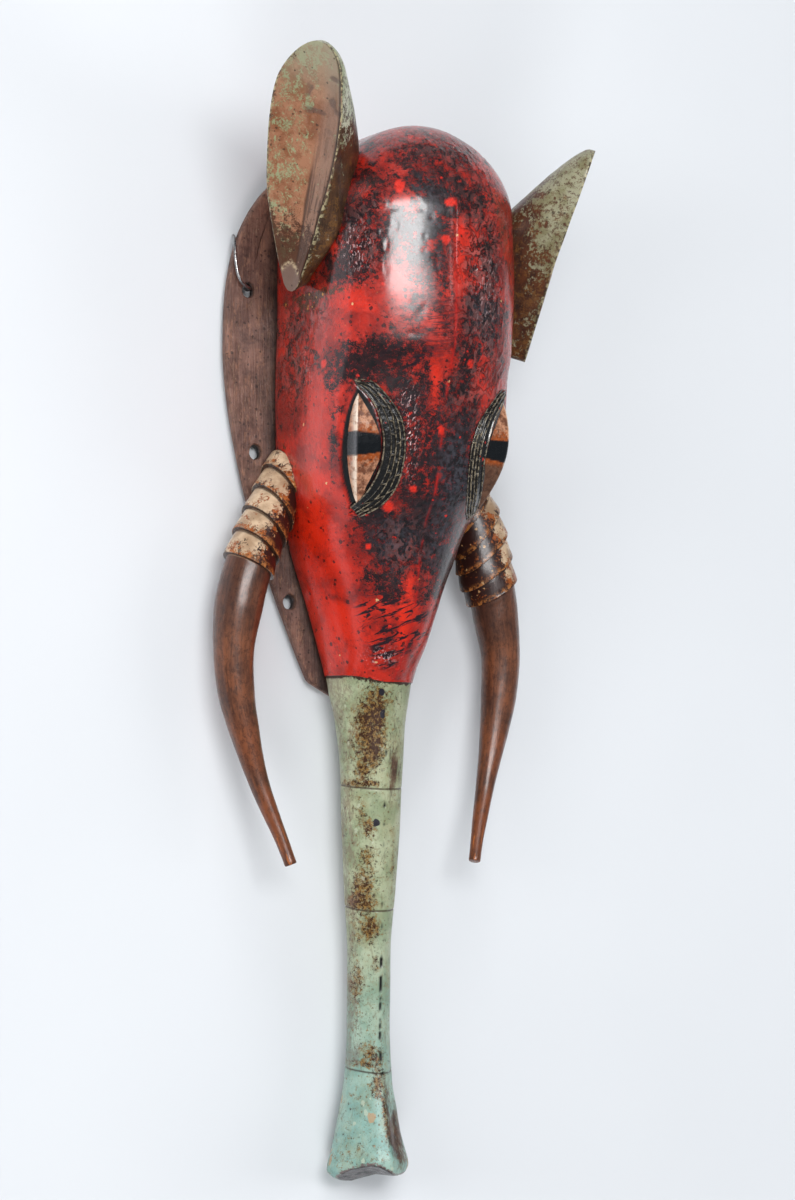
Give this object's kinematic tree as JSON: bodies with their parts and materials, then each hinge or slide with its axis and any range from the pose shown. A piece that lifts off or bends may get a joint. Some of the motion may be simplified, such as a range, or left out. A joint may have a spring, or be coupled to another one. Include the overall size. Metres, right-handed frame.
{
  "type": "elephant mask",
  "caption": "Carved and painted wooden elephant mask with upright ears, curved tusks, a long trunk, a drilled flange round a hollow back and a wire hanging loop",
  "frame": {"origin": "middle of the mask's outline, on the plane its back rests on", "axes": "+X across the face to the viewer's right, +Y along the mask from the trunk tip to the crown, +Z out of the face, up as it lies on its back"},
  "size_m": [0.2331, 0.7292, 0.1506],
  "materials": {
    "painted_wood": "worn gloss paint over dark wood",
    "wire": "dull drawn wire"
  },
  "bodies": {
    "root": {"carved_mask": "painted_wood", "hanging_wire": "wire"}
  },
  "joints": []
}
